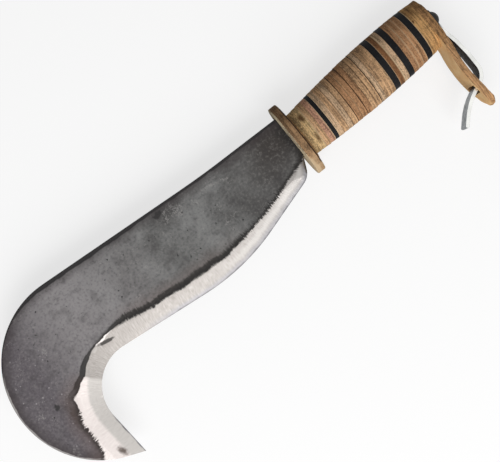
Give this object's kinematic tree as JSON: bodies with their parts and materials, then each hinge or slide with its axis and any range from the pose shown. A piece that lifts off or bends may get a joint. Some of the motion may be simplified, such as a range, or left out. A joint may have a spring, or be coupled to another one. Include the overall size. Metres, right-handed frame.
{
  "type": "billhook",
  "caption": "Billhook with a beaked forged blade, an oval leather guard, a stacked leather grip and a steel belt hook held by a leather tongue.",
  "frame": {"origin": "middle of the guard's front face, on the tang line", "axes": "+X along the tang towards the butt, +Y towards the spine, +Z out of the blade's cheek"},
  "size_m": [0.3821, 0.1276, 0.036],
  "materials": {
    "forged_steel": "dark forge scale with a ground satin bevel",
    "bright_steel": "bright rolled strip",
    "guard_leather": "thick waxed leather",
    "leather_brown": "sanded leather edge",
    "leather_tan": "sanded leather edge",
    "leather_light": "sanded leather edge",
    "black_fibre": "matt black fibre",
    "strap_leather": "natural strap leather"
  },
  "bodies": {
    "tool": {"blade": "forged_steel", "guard": "guard_leather", "collar_washer": "leather_brown", "leather_washer_01": "leather_brown", "leather_washer_02": "leather_brown", "leather_washer_03": "leather_tan", "leather_washer_04": "leather_tan", "leather_washer_05": "leather_light", "leather_washer_06": "leather_light", "leather_washer_07": "leather_tan", "leather_washer_08": "leather_tan", "leather_washer_09": "leather_tan", "leather_washer_10": "leather_light", "leather_washer_11": "leather_light", "leather_washer_12": "leather_tan", "leather_washer_13": "leather_tan", "leather_washer_14": "leather_tan", "leather_washer_15": "leather_tan", "leather_washer_16": "leather_light", "leather_washer_17": "leather_brown", "leather_washer_18": "leather_light", "leather_washer_19": "leather_brown", "leather_washer_20": "leather_brown", "leather_washer_21": "leather_brown", "leather_washer_22": "leather_light", "leather_washer_23": "leather_light", "black_spacer_1": "black_fibre", "black_spacer_2": "black_fibre", "black_spacer_3": "black_fibre", "black_spacer_4": "black_fibre", "end_washer": "strap_leather", "belt_hook": "bright_steel"},
    "tongue": {"tongue": "strap_leather"}
  },
  "joints": [
    {"name": "tongue_flex", "type": "hinge", "parent": "tool", "child": "tongue", "pos_m": [0.11653, -0.01921, 0], "axis": [0, 0, 1], "range_deg": [-4, 4], "stiffness_Nm_per_rad": 0.3}
  ]
}
